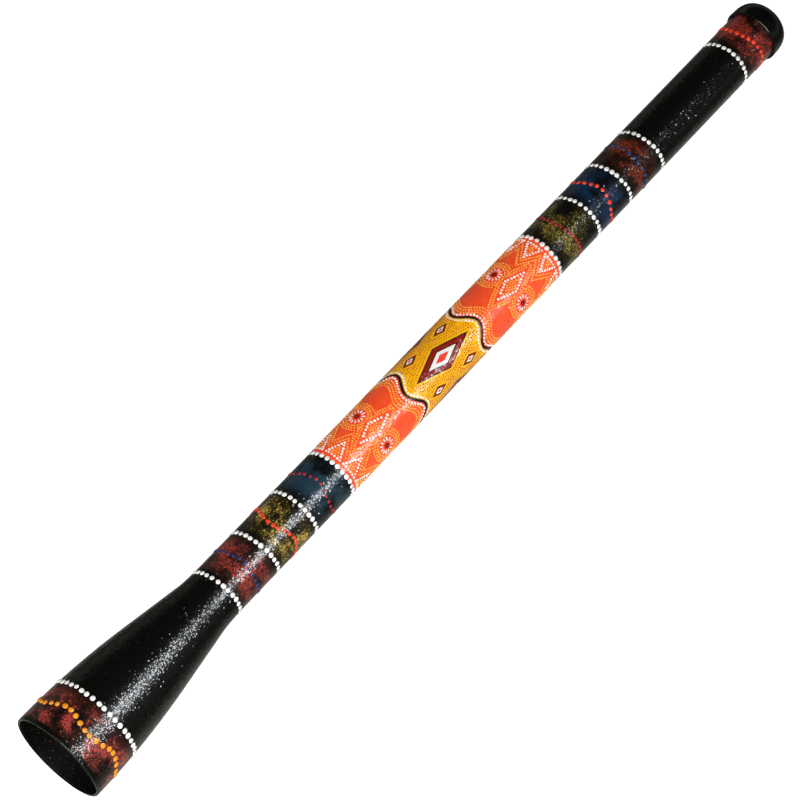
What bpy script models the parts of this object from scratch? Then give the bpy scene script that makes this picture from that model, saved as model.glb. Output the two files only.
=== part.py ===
"""Slide didgeridoo in its closed position.

The instrument lies along +X: the flared bell opens towards -X and the mouthpiece is at +X.
The origin is at the middle of its length, on the axis of the tubes. Each piece is turned round
its own local Z axis, with heights measured from the bell's rim, and the frame empty lays that
axis along +X. All sizes are in metres.
"""

import math

import bmesh
import bpy

# Overall sizes
LENGTH = 0.9285
SIDES = 48
FIT_GAP = 0.0003

# Outer tube and its flared bell
TUBE_R = 0.024
TUBE_WALL = 0.0024
TUBE_TOP = 0.9045
BORE_R = TUBE_R - TUBE_WALL
BELL_R = 0.0421
BELL_WALL = 0.0026
BELL_SLOPE = 0.152
BELL_CURVED_LENGTH = 0.109
BELL_CURVE_STEPS = 6
RIM_ROUNDING = 0.0008
NECK_R = 0.0244
NECK_RUN_OUT = 0.019
NECK_BEND_LENGTH = NECK_RUN_OUT / 3
NECK_BEND_R = 0.0241
NECK_BORE_R = 0.0219

# Inner tube that slides in the outer one
SLIDE_TUBE_R = 0.019
SLIDE_TUBE_WALL = 0.0018
SLIDE_TUBE_BOTTOM = 0.192
SLIDE_TUBE_TOP = 0.916
SLIDE_BORE_R = SLIDE_TUBE_R - SLIDE_TUBE_WALL

# Bush in the outer tube's mouth, with a wiper ring in its groove
BUSH_LENGTH = 0.030
BUSH_FLANGE = 0.0015
BUSH_BORE_R = SLIDE_TUBE_R + FIT_GAP
WIPER_HEIGHT = 0.893
WIPER_WIDTH = 0.0024
WIPER_INNER_R = 0.01915
WIPER_OUTER_R = 0.0202

# Collar on the inner tube's lower end, which carries the guide rings and the slide seals
COLLAR_R = 0.0212
COLLAR_LENGTH = 0.045
GUIDE_RING_OFFSETS = (0.003, 0.034)
GUIDE_RING_WIDTH = 0.0077
GUIDE_RING_INNER_R = 0.0203
GUIDE_RING_SPLIT = 0.0015
SPLIT_CUTTER_DEPTH = 0.004
SPLIT_CUTTER_SPARE = 0.001
SLIDE_SEAL_OFFSETS = (0.0165, 0.0285)
SLIDE_SEAL_INNER_R = 0.02015
RUNNING_R = 0.02145
SEAL_WIDTH = 0.0020
GROOVE_CLEARANCE = 0.00015

# Rubber washer that the mouthpiece closes on
BUMPER_THICKNESS = 0.0015

# Mouthpiece: a domed cap with a skirt outside and a spigot inside
SKIRT_BOTTOM = 0.9035
SKIRT_R = 0.0264
SKIRT_INNER_R = 0.0246
SKIRT_LIP = 0.0007
DOME_BOTTOM = 0.9064
DOME_R = 0.0262
DOME_HEIGHT = 0.0231
DOME_POWER = 3.0
DOME_STEPS = 7
MOUTH_R = 0.0140
MOUTH_EDGE_R = 0.0155
MOUTH_BEVEL = 0.0008
MOUTH_BEVEL_DEPTH = 0.0012
SPIGOT_R = SLIDE_BORE_R - FIT_GAP
SPIGOT_BOTTOM = 0.888
SPIGOT_SEAL_HEIGHT = 0.897
SPIGOT_SEAL_INNER_R = 0.0158
SPIGOT_SEAL_OUTER_R = 0.01705

MATERIALS = {
    "varnished_plastic": ((0.012, 0.011, 0.010, 1.0), 0.28),
    "satin_plastic": ((0.030, 0.030, 0.032, 1.0), 0.40),
    "gloss_plastic": ((0.008, 0.008, 0.009, 1.0), 0.12),
    "acetal": ((0.020, 0.020, 0.019, 1.0), 0.45),
    "low_friction_plastic": ((0.80, 0.79, 0.75, 1.0), 0.55),
    "seal_rubber": ((0.020, 0.020, 0.020, 1.0), 0.70),
    "bumper_rubber": ((0.050, 0.048, 0.045, 1.0), 0.80),
    "felt": ((0.23, 0.22, 0.20, 1.0), 0.95),
}


def clear_scene():
    for old in list(bpy.data.objects):
        bpy.data.objects.remove(old, do_unlink=True)


def make_collection(name):
    collection = bpy.data.collections.new(name)
    bpy.context.scene.collection.children.link(collection)
    return collection


def make_empty(name, collection, parent=None):
    empty = bpy.data.objects.new(name, None)
    empty.empty_display_type = "SINGLE_ARROW"
    empty.empty_display_size = 0.1
    empty.parent = parent
    collection.objects.link(empty)
    return empty


def make_material(piece_name, look):
    colour, roughness = MATERIALS[look]
    material = bpy.data.materials.new(piece_name + "_" + look)
    material.use_nodes = True
    shader = material.node_tree.nodes["Principled BSDF"]
    shader.inputs["Base Color"].default_value = colour
    shader.inputs["Roughness"].default_value = roughness
    shader.inputs["Metallic"].default_value = 0.0
    return material


def turned(name, outline, look, collection, parent):
    """A turned piece. Its outline of (radius, height) points runs down the outside, then up the inside."""
    mesh = bpy.data.meshes.new(name)
    points = [(radius, 0.0, height) for radius, height in outline]
    edges = [(index, (index + 1) % len(points)) for index in range(len(points))]
    mesh.from_pydata(points, edges, [])
    piece = bpy.data.objects.new(name, mesh)
    collection.objects.link(piece)
    piece.parent = parent
    mesh.materials.append(make_material(name, look))
    screw = piece.modifiers.new("Turn", "SCREW")
    screw.axis = "Z"
    screw.angle = math.tau
    screw.steps = SIDES
    screw.render_steps = SIDES
    screw.use_merge_vertices = True
    screw.merge_threshold = 0.00001
    screw.use_smooth_shade = True
    return piece


def arc(centre_r, centre_height, radius, start_deg, end_deg, steps):
    """Points on an arc. 0 degrees points outwards and 90 degrees points up the instrument."""
    points = []
    for step in range(steps + 1):
        angle = math.radians(start_deg + (end_deg - start_deg) * step / steps)
        points.append((centre_r + radius * math.cos(angle), centre_height + radius * math.sin(angle)))
    return points


def ring(inner_r, outer_r, bottom, top):
    return [(outer_r, top), (outer_r, bottom), (inner_r, bottom), (inner_r, top)]


def oval_ring(inner_r, outer_r, height, width, corners=8):
    """The outline of a seal ring, pressed oval by the walls on either side of it."""
    middle = (inner_r + outer_r) / 2
    half = (outer_r - inner_r) / 2
    points = []
    for corner in range(corners):
        angle = math.radians(90) - math.tau * corner / corners
        points.append((middle + half * math.cos(angle), height + width / 2 * math.sin(angle)))
    return points


def bell_outer_r(height):
    """The bell's outer radius: a parabola from the rim, then a straight cone."""
    if height < BELL_CURVED_LENGTH:
        return BELL_R - BELL_SLOPE * height**2 / (2 * BELL_CURVED_LENGTH)
    return BELL_R - BELL_SLOPE * (height - BELL_CURVED_LENGTH / 2)


def bell_stations():
    """Heights above the rim where the bell's outline has a point, from the rim to the neck."""
    curved = [BELL_CURVED_LENGTH * step / BELL_CURVE_STEPS for step in range(1, BELL_CURVE_STEPS + 1)]
    neck = BELL_CURVED_LENGTH / 2 + (BELL_R - NECK_R) / BELL_SLOPE
    return curved + [neck]


def outer_tube_outline():
    stations = bell_stations()
    neck = stations[-1]
    outside = [(TUBE_R, TUBE_TOP), (TUBE_R, neck + NECK_RUN_OUT), (NECK_BEND_R, neck + NECK_BEND_LENGTH)]
    outside += [(bell_outer_r(height), height) for height in reversed(stations)]
    outside += arc(BELL_R - RIM_ROUNDING, RIM_ROUNDING, RIM_ROUNDING, 0, -90, 3)
    rim_inner_r = BELL_R - BELL_WALL
    inside = arc(rim_inner_r + RIM_ROUNDING, RIM_ROUNDING, RIM_ROUNDING, -90, -180, 3)
    inside += [(bell_outer_r(height) - BELL_WALL, height) for height in stations[:-1]]
    inside += [(NECK_BORE_R, neck), (BORE_R, neck + NECK_BEND_LENGTH), (BORE_R, TUBE_TOP)]
    return outside + inside


def throat_bush_outline():
    bottom = TUBE_TOP + FIT_GAP - BUSH_LENGTH
    shoulder = TUBE_TOP + FIT_GAP
    body_r = BORE_R - FIT_GAP
    groove_r = WIPER_OUTER_R + 2 * GROOVE_CLEARANCE
    groove_half = WIPER_WIDTH / 2 + GROOVE_CLEARANCE
    outside = [(TUBE_R, shoulder + BUSH_FLANGE), (TUBE_R, shoulder), (body_r, shoulder)]
    outside += [(body_r, bottom), (BUSH_BORE_R, bottom)]
    inside = [(BUSH_BORE_R, WIPER_HEIGHT - groove_half), (groove_r, WIPER_HEIGHT - groove_half)]
    inside += [(groove_r, WIPER_HEIGHT + groove_half), (BUSH_BORE_R, WIPER_HEIGHT + groove_half)]
    inside += [(BUSH_BORE_R, shoulder + BUSH_FLANGE)]
    return outside + inside


def collar_grooves():
    """(bottom, top, floor radius) of each groove round the collar, from the lowest up."""
    grooves = []
    for offset in GUIDE_RING_OFFSETS:
        bottom = SLIDE_TUBE_BOTTOM + offset
        grooves.append((bottom, bottom + GUIDE_RING_WIDTH + 2 * GROOVE_CLEARANCE, GUIDE_RING_INNER_R))
    for offset in SLIDE_SEAL_OFFSETS:
        half = SEAL_WIDTH / 2 + GROOVE_CLEARANCE
        middle = SLIDE_TUBE_BOTTOM + offset
        grooves.append((middle - half, middle + half, SLIDE_SEAL_INNER_R))
    return sorted((low, high, floor - GROOVE_CLEARANCE) for low, high, floor in grooves)


def slide_collar_outline():
    top = SLIDE_TUBE_BOTTOM + COLLAR_LENGTH
    outline = [(COLLAR_R, top)]
    for low, high, floor in reversed(collar_grooves()):
        outline += [(COLLAR_R, high), (floor, high), (floor, low), (COLLAR_R, low)]
    inner_r = SLIDE_TUBE_R + FIT_GAP
    outline += [(COLLAR_R, SLIDE_TUBE_BOTTOM), (inner_r, SLIDE_TUBE_BOTTOM), (inner_r, top)]
    return outline


def dome_point(angle):
    """A point of the cap's outside, a rounded square in section, for an angle from 0 to a quarter turn."""
    radius = DOME_R * math.cos(angle) ** (2 / DOME_POWER)
    height = DOME_BOTTOM + DOME_HEIGHT * math.sin(angle) ** (2 / DOME_POWER)
    return radius, height


def mouthpiece_outline():
    edge_angle = math.acos((MOUTH_EDGE_R / DOME_R) ** (DOME_POWER / 2))
    outline = [(MOUTH_R + MOUTH_BEVEL, LENGTH)]
    for step in range(DOME_STEPS, 0, -1):
        outline.append(dome_point(edge_angle * step / DOME_STEPS))
    outline.append((DOME_R, DOME_BOTTOM))
    outline += arc(SKIRT_R - SKIRT_LIP, SKIRT_BOTTOM + SKIRT_LIP, SKIRT_LIP, 0, -90, 3)
    outline += [(SKIRT_INNER_R, SKIRT_BOTTOM), (SKIRT_INNER_R, skirt_ceiling())]
    socket_r = SLIDE_TUBE_R + FIT_GAP
    socket_end = SLIDE_TUBE_TOP + FIT_GAP
    outline += [(socket_r, skirt_ceiling()), (socket_r, socket_end), (SPIGOT_R, socket_end)]
    groove_half = SEAL_WIDTH / 2 + GROOVE_CLEARANCE
    groove_r = SPIGOT_SEAL_INNER_R - GROOVE_CLEARANCE
    outline += [(SPIGOT_R, SPIGOT_SEAL_HEIGHT + groove_half), (groove_r, SPIGOT_SEAL_HEIGHT + groove_half)]
    outline += [(groove_r, SPIGOT_SEAL_HEIGHT - groove_half), (SPIGOT_R, SPIGOT_SEAL_HEIGHT - groove_half)]
    outline += [(SPIGOT_R, SPIGOT_BOTTOM), (MOUTH_R, SPIGOT_BOTTOM), (MOUTH_R, LENGTH - MOUTH_BEVEL_DEPTH)]
    return outline


def bumper_bottom():
    return TUBE_TOP + FIT_GAP + BUSH_FLANGE + FIT_GAP


def skirt_ceiling():
    return bumper_bottom() + BUMPER_THICKNESS + FIT_GAP


def make_split_cutter(name, bottom, collection, parent):
    """A thin block across one side of a guide ring, which leaves the ring's split."""
    mesh = bpy.data.meshes.new(name)
    block = bmesh.new()
    bmesh.ops.create_cube(block, size=1.0)
    size = (SPLIT_CUTTER_DEPTH, GUIDE_RING_SPLIT, GUIDE_RING_WIDTH + 2 * SPLIT_CUTTER_SPARE)
    bmesh.ops.scale(block, vec=size, verts=block.verts)
    block.to_mesh(mesh)
    block.free()
    cutter = bpy.data.objects.new(name, mesh)
    collection.objects.link(cutter)
    cutter.parent = parent
    cutter.location = (-GUIDE_RING_INNER_R, 0.0, bottom + GUIDE_RING_WIDTH / 2)
    cutter.hide_render = True
    cutter.display_type = "WIRE"
    return cutter


def make_guide_ring(name, offset, pieces, cutters, parent):
    bottom = SLIDE_TUBE_BOTTOM + offset + GROOVE_CLEARANCE
    outline = ring(GUIDE_RING_INNER_R, RUNNING_R, bottom, bottom + GUIDE_RING_WIDTH)
    piece = turned(name, outline, "low_friction_plastic", pieces, parent)
    split = piece.modifiers.new("Split", "BOOLEAN")
    split.operation = "DIFFERENCE"
    split.solver = "EXACT"
    split.object = make_split_cutter(name + "_cutter", bottom, cutters, parent)


def build():
    clear_scene()
    pieces = make_collection("slide_didgeridoo")
    cutters = make_collection("cutters")

    frame = make_empty("frame", pieces)
    frame.location = (-LENGTH / 2, 0.0, 0.0)
    frame.rotation_euler = (0.0, math.radians(90), 0.0)
    slide_axis = make_empty("slide_axis", pieces, frame)
    turn_axis = make_empty("turn_axis", pieces, slide_axis)
    pull_axis = make_empty("pull_axis", pieces, turn_axis)

    turned("outer_tube", outer_tube_outline(), "varnished_plastic", pieces, frame)
    turned("throat_bush", throat_bush_outline(), "acetal", pieces, frame)
    wiper_bottom = WIPER_HEIGHT - WIPER_WIDTH / 2
    wiper = ring(WIPER_INNER_R, WIPER_OUTER_R, wiper_bottom, wiper_bottom + WIPER_WIDTH)
    turned("wiper_ring", wiper, "felt", pieces, frame)

    for place, offset in zip(("lower", "upper"), GUIDE_RING_OFFSETS):
        make_guide_ring("guide_ring_" + place, offset, pieces, cutters, slide_axis)
    for place, offset in zip(("lower", "upper"), SLIDE_SEAL_OFFSETS):
        seal = oval_ring(SLIDE_SEAL_INNER_R, RUNNING_R, SLIDE_TUBE_BOTTOM + offset, SEAL_WIDTH)
        turned("slide_seal_" + place, seal, "seal_rubber", pieces, slide_axis)

    tube = ring(SLIDE_BORE_R, SLIDE_TUBE_R, SLIDE_TUBE_BOTTOM, SLIDE_TUBE_TOP)
    turned("inner_tube", tube, "satin_plastic", pieces, turn_axis)
    turned("slide_collar", slide_collar_outline(), "acetal", pieces, turn_axis)
    bumper = ring(BUSH_BORE_R, TUBE_R, bumper_bottom(), bumper_bottom() + BUMPER_THICKNESS)
    turned("closing_bumper", bumper, "bumper_rubber", pieces, turn_axis)

    turned("mouthpiece", mouthpiece_outline(), "gloss_plastic", pieces, pull_axis)
    seal = oval_ring(SPIGOT_SEAL_INNER_R, SPIGOT_SEAL_OUTER_R, SPIGOT_SEAL_HEIGHT, SEAL_WIDTH)
    turned("mouthpiece_seal", seal, "seal_rubber", pieces, pull_axis)


build()
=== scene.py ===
"""Looks of the slide didgeridoo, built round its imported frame.

The tubes, rings and mouthpiece are turned again with rounded edges, and the paint is laid on the
outer tube as thin raised shapes. A place on the outer tube is given as (u, v) in millimetres: u runs
round the straight tube from the line that faces the camera, v runs up from the bell's rim.
"""

import math
import random

import bpy
from mathutils import Matrix, Vector


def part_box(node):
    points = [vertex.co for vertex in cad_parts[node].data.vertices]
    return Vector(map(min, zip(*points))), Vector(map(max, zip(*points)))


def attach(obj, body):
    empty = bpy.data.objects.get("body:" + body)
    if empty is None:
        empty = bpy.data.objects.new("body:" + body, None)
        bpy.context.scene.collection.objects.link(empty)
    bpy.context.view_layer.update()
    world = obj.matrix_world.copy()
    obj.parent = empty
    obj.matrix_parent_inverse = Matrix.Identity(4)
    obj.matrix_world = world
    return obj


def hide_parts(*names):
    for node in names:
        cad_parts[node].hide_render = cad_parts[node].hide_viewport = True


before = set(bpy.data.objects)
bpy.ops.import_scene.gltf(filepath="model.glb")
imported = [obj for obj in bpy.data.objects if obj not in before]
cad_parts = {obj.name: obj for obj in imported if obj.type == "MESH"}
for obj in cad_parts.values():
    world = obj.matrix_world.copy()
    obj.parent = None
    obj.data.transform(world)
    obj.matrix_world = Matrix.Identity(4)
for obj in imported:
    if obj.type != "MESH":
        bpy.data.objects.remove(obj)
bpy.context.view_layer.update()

MM = 0.001
random.seed(7)

# Places and sizes taken from the frame
tube_low, tube_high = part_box("outer_tube")
bush_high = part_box("throat_bush")[1]
inner_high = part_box("inner_tube")[1]
mouth_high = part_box("mouthpiece")[1]
BELL_X = tube_low.x
BELL_R = tube_high.z
TUBE_R = bush_high.z
TUBE_TOP = tube_high.x - BELL_X
LENGTH = mouth_high.x - BELL_X
AROUND = math.tau * TUBE_R / MM

# The bell's outline, as the frame has it
BELL_SLOPE = 0.152
BELL_CURVED_LENGTH = 0.109
BELL_WALL = 0.0026
NECK_R = 0.0244
NECK = BELL_CURVED_LENGTH / 2 + (BELL_R - NECK_R) / BELL_SLOPE
NECK_RUN_IN, NECK_RUN_OUT = 0.007, 0.019
BORE_R = TUBE_R - 0.0024

# The camera: how far the bell leans to it, the tube's slope in the picture, its height round the tube
CAMERA_TILT = math.radians(23.2)
CAMERA_ROLL = math.radians(46.15)
CAMERA_CLIMB = math.radians(68)
CAMERA_AIM = BELL_X + 0.4138
CAMERA_DISTANCE = 2.366
CAMERA_LENS = 129.2
CAMERA_SHIFT = (-0.0010, 0.00095)

FRONT = Vector((0, -math.cos(CAMERA_CLIMB), math.sin(CAMERA_CLIMB)))
SIDE = Vector((0, -math.sin(CAMERA_CLIMB), -math.cos(CAMERA_CLIMB)))


def new_object(name, data):
    thing = bpy.data.objects.new(name, data)
    bpy.context.scene.collection.objects.link(thing)
    return thing


# ---- node materials

def srgb(*screen_colour):
    """A colour given as 0 to 255 on a screen, as the linear colour that a shader takes."""
    return tuple(((c / 255 + 0.055) / 1.055) ** 2.4 if c > 10 else c / 255 / 12.92 for c in screen_colour)


class Look:
    """A node material, built node by node. A value is a number, a tuple or another node's socket."""

    def __init__(self, name):
        self.material = bpy.data.materials.new(name)
        self.material.use_nodes = True
        self.tree = self.material.node_tree
        self.shader = self.tree.nodes["Principled BSDF"]
        self.place = self.node("TexCoord").outputs["Object"]

    def give(self, socket, value):
        """Joins a value that is a socket, and sets any other straight on the socket."""
        if isinstance(value, bpy.types.NodeSocket):
            self.tree.links.new(value, socket)
        elif isinstance(value, tuple) and socket.type == "RGBA":
            socket.default_value = (*value, 1.0)
        else:
            socket.default_value = value

    def node(self, kind, values=None, **settings):
        """A shader node, with a value for each input that is given by its name or number."""
        node = self.tree.nodes.new("ShaderNode" + kind)
        for name, setting in settings.items():
            setattr(node, name, setting)
        for key, value in (values or {}).items():
            self.give(node.inputs[key], value)
        return node

    def set(self, **values):
        """Values for the shader's own sockets, with _ for a space in a socket's name."""
        for name, value in values.items():
            self.give(self.shader.inputs[name.replace("_", " ")], value)

    def colours(self, share, first, second):
        """The base colour, between two screen colours."""
        self.set(Base_Color=self.mix(share, srgb(*first), srgb(*second)))

    def noise(self, scale, detail=2.0, roughness=0.5, place=None):
        values = {"Scale": scale, "Detail": detail, "Roughness": roughness, "Vector": place or self.place}
        return self.node("TexNoise", values).outputs["Fac"]

    def stretched(self, x, y, z):
        """The object's coordinates, scaled along each axis."""
        return self.node("Mapping", {"Scale": (x, y, z), "Vector": self.place}).outputs["Vector"]

    def remap(self, value, low, high, to_low=0.0, to_high=1.0):
        values = {"Value": value, "From Min": low, "From Max": high, "To Min": to_low, "To Max": to_high}
        return self.node("MapRange", values).outputs["Result"]

    def math(self, operation, first, second):
        return self.node("Math", {0: first, 1: second}, operation=operation).outputs["Value"]

    def vector_math(self, operation, *values):
        return self.node("VectorMath", dict(enumerate(values)), operation=operation).outputs["Vector"]

    def mix(self, share, first, second):
        """A colour between two others."""
        return self.node("Mix", {"Factor": share, 6: first, 7: second}, data_type="RGBA").outputs[2]

    def ramp(self, value, stops, interpolation="LINEAR"):
        """A colour ramp. Its stops are (place, colour), the colour a tuple or a grey number."""
        node = self.node("ValToRGB", {"Fac": value})
        node.color_ramp.interpolation = interpolation
        elements = node.color_ramp.elements
        while len(elements) > 1:
            elements.remove(elements[-1])
        for index, (place, colour) in enumerate(stops):
            element = elements[0] if index == 0 else elements.new(place)
            element.position = place
            element.color = (*colour, 1.0) if isinstance(colour, tuple) else (colour, colour, colour, 1.0)
        return node.outputs["Color"]

    def bump(self, height, strength, distance, before=None):
        values = {"Strength": strength, "Distance": distance, "Height": height}
        if before:
            values["Normal"] = before
        return self.node("Bump", values).outputs["Normal"]


# The varnish: how many grains lie along a metre, and how far the flattest and the steepest one lean
GRAIN_SCALE = 1200
LEAST_LEAN, MOST_LEAN = 0.24, 0.85
# The higher this is, the fewer grains lean far
LEAN_RARITY = 5.0


def varnish(look):
    """The sandy gloss varnish over the paint. Most grains lean a little, and a few lean far and glint."""
    swell = look.bump(look.noise(160), 0.25, 0.0004)
    look.set(Normal=look.bump(look.noise(700, 3.0, 0.6), 0.35, 0.0003, swell))
    grains = look.node("TexVoronoi", {"Scale": GRAIN_SCALE, "Vector": look.place})
    chance = look.node("TexWhiteNoise", {"Vector": grains.outputs["Position"]})
    steepness = look.math("POWER", chance.outputs["Value"], LEAN_RARITY)
    lean = look.remap(steepness, 0.0, 1.0, LEAST_LEAN, MOST_LEAN)
    centred = look.vector_math("SUBTRACT", grains.outputs["Color"], (0.5, 0.5, 0.5))
    normal = look.node("NewGeometry").outputs["Normal"]
    leaning = look.vector_math("ADD", normal, look.vector_math("MULTIPLY", centred, lean))
    look.set(Coat_Normal=look.vector_math("NORMALIZE", leaning))
    look.set(Roughness=look.remap(look.noise(300), 0.3, 0.7, 0.26, 0.38))
    look.set(Specular_IOR_Level=0.10, Coat_Weight=1.0, Coat_IOR=1.36, Coat_Roughness=0.09)
    return look


def paint_look(name, colour, other):
    """Acrylic paint that is a little uneven in colour, under the varnish."""
    look = Look(name)
    patches = look.remap(look.noise(260, 3.0, 0.6), 0.35, 0.68)
    look.colours(patches, colour, other)
    return varnish(look).material


# Each sponged band: its two ends (mm), haze colour, bright and dull speck colours, and how thick they lie
SPONGED_BANDS = (
    (2, 43, (76, 38, 28), (198, 72, 62), (130, 54, 52), 0.56),
    (184, 230, (66, 38, 30), (196, 58, 50), (116, 52, 50), 0.50),
    (230, 278, (54, 46, 20), (208, 180, 82), (142, 116, 46), 0.50),
    (278, 324, (34, 56, 70), (64, 96, 116), (44, 72, 94), 0.14),
    (597, 650, (46, 40, 16), (160, 142, 60), (104, 88, 34), 0.46),
    (650, 694, (20, 46, 74), (44, 90, 130), (30, 68, 104), 0.12),
    (694, 739, (58, 28, 18), (164, 60, 36), (102, 42, 30), 0.44),
    (862, 905, (66, 26, 22), (172, 46, 40), (118, 54, 36), 0.52),
)
# How far in from its ends a band fades (mm), and how much of it is left at the bell's rim and at the cap
BAND_FADE = 13
COVER_AT_RIM, COVER_AT_CAP = 0.7, 0.9
HAZE_STRENGTH = 0.82
BLACK = srgb(8, 8, 6)


def tube_look():
    """Black varnish, with bands where paint was dabbed on with a sponge."""
    look = Look("sponged_black_varnish")
    split = look.node("SeparateXYZ", {"Vector": look.place})
    share = look.remap(split.outputs["X"], BELL_X, BELL_X + 1.0)
    haze, bright, dull, cover, thickness = [(0.0, BLACK)], [(0.0, BLACK)], [(0.0, BLACK)], [], []
    rim_end, cap_end = SPONGED_BANDS[0][0], SPONGED_BANDS[-1][1]
    for low, high, haze_colour, bright_colour, dull_colour, thick in SPONGED_BANDS:
        for stops, colour in ((haze, haze_colour), (bright, bright_colour), (dull, dull_colour)):
            stops += [(low * MM, srgb(*colour)), (high * MM, BLACK)]
        thickness += [(low * MM, thick)]
        cover += [(low * MM, COVER_AT_RIM if low == rim_end else 0.0), ((low + BAND_FADE) * MM, 1.0)]
        cover += [((high - BAND_FADE) * MM, 1.0), (high * MM, COVER_AT_CAP if high == cap_end else 0.0)]
    haze, bright, dull = (look.ramp(share, merged(stops), "CONSTANT") for stops in (haze, bright, dull))
    thickness = look.ramp(share, thickness, "CONSTANT")
    clouds = look.remap(look.noise(44, 3.0, 0.62), 0.39, 0.56, 0.06, 1.12)
    amount = look.math("MULTIPLY", clouds, look.ramp(share, merged(cover)))
    speck_share = look.math("MULTIPLY", amount, thickness)
    grains = look.noise(780, 2.0, 0.8)
    limit = look.remap(speck_share, 0.0, 0.6, 0.72, 0.46)
    specks = look.remap(look.math("SUBTRACT", grains, limit), 0.0, 0.025)
    hue = look.remap(look.noise(620, 1.0), 0.44, 0.54)
    colour = look.mix(look.math("MULTIPLY", amount, HAZE_STRENGTH), BLACK, haze)
    look.set(Base_Color=look.mix(specks, colour, look.mix(hue, dull, bright)))
    return varnish(look).material


def merged(stops):
    """Ramp stops in order. Where two share a place, the later one counts."""
    return sorted({round(place, 6): colour for place, colour in stops}.items())


def tube_inside_look():
    """Unvarnished black plastic inside the bell and bore, with pale specks of dust."""
    look = Look("tube_inside")
    dust = look.remap(look.noise(900, 2.0, 0.5), 0.68, 0.74)
    look.colours(dust, (7, 6, 5), (110, 106, 98))
    look.set(Normal=look.bump(look.noise(700, 3.0, 0.6), 0.5, 0.0003))
    look.set(Roughness=look.remap(look.noise(90), 0.3, 0.7, 0.45, 0.62), Specular_IOR_Level=0.08)
    return look.material


def gloss_look():
    """Polished black plastic with a faint ripple and fine rubbing marks."""
    look = Look("polished_black_plastic")
    rubbed = look.remap(look.noise(38, 3.0, 0.6), 0.35, 0.7)
    look.colours(rubbed, (5, 5, 5), (11, 11, 11))
    look.set(Roughness=look.remap(look.noise(120, 4.0, 0.65), 0.3, 0.75, 0.12, 0.30))
    marks = look.noise(260, 4.0, 0.7, look.stretched(1.0, 7.0, 7.0))
    normal = look.bump(look.noise(70, 1.0, 0.4), 0.12, 0.0006)
    look.set(Normal=look.bump(marks, 0.10, 0.0001, normal), Specular_IOR_Level=0.42)
    return look.material


def slide_tube_look():
    """Satin black tube, with long marks where it has run through the wiper."""
    look = Look("satin_slide_tube")
    marks = look.noise(420, 3.0, 0.6, look.stretched(0.03, 1.0, 1.0))
    worn = look.remap(marks, 0.42, 0.75)
    look.colours(worn, (24, 24, 25), (54, 54, 56))
    look.set(Roughness=look.remap(marks, 0.3, 0.7, 0.30, 0.48), Specular_IOR_Level=0.4)
    normal = look.bump(marks, 0.15, 0.0001)
    look.set(Normal=look.bump(look.noise(900, 2.0), 0.10, 0.0001, normal))
    return look.material


def plastic_look(name, colour, stain, roughness):
    """Turned plastic, with turning marks round its axis and patches of grease."""
    look = Look(name)
    turning = look.noise(2400, 2.0, 0.5, look.stretched(1.0, 0.02, 0.02))
    grease = look.remap(look.noise(150, 4.0, 0.6), 0.5, 0.75)
    look.colours(grease, colour, stain)
    look.set(Roughness=look.remap(grease, 0.0, 1.0, roughness, roughness - 0.15))
    look.set(Normal=look.bump(turning, 0.3, 0.0001))
    return look.material


def rubber_look(name, colour, dusty, roughness):
    look = Look(name)
    bloom = look.remap(look.noise(240, 4.0, 0.65), 0.45, 0.8)
    look.colours(bloom, colour, dusty)
    look.set(Roughness=look.remap(bloom, 0.0, 1.0, roughness, roughness + 0.12))
    look.set(Normal=look.bump(look.noise(1800, 3.0, 0.6), 0.35, 0.0001))
    return look.material


def felt_look():
    look = Look("pressed_felt")
    fibres = look.noise(1300, 5.0, 0.8)
    fibre_share = look.remap(fibres, 0.35, 0.65)
    look.colours(fibre_share, (84, 82, 78), (142, 138, 130))
    look.set(Normal=look.bump(fibres, 0.9, 0.0004), Roughness=0.95, Sheen_Weight=0.4)
    return look.material


# ---- turned pieces

def arc(centre_r, centre_height, radius, start_deg, end_deg, steps):
    """Points on an arc. 0 degrees points outwards and 90 degrees points up the instrument."""
    points = []
    for step in range(steps + 1):
        angle = math.radians(start_deg + (end_deg - start_deg) * step / steps)
        points.append((centre_r + radius * math.cos(angle), centre_height + radius * math.sin(angle)))
    return points


SHARP_EDGE = math.radians(40)
# A corner that turns less than this (degrees) stays as it is, and any other gets this many steps
LEAST_CORNER = 25
CORNER_STEPS = 3


def rounded(outline, radius):
    """The closed outline with each real corner cut to an arc-like curve of about that radius."""
    result = []
    count = len(outline)
    for index, here in enumerate(outline):
        before, here, after = Vector(outline[index - 1]), Vector(here), Vector(outline[(index + 1) % count])
        into, out = (here - before), (after - here)
        turn = math.degrees(into.angle(out))
        if turn < LEAST_CORNER:
            result.append(tuple(here))
            continue
        reach = min(radius, into.length * 0.45, out.length * 0.45)
        start, end = here - into.normalized() * reach, here + out.normalized() * reach
        for step in range(CORNER_STEPS + 1):
            t = step / CORNER_STEPS
            result.append(tuple(start * (1 - t) ** 2 + here * 2 * t * (1 - t) + end * t**2))
    return result


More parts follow.
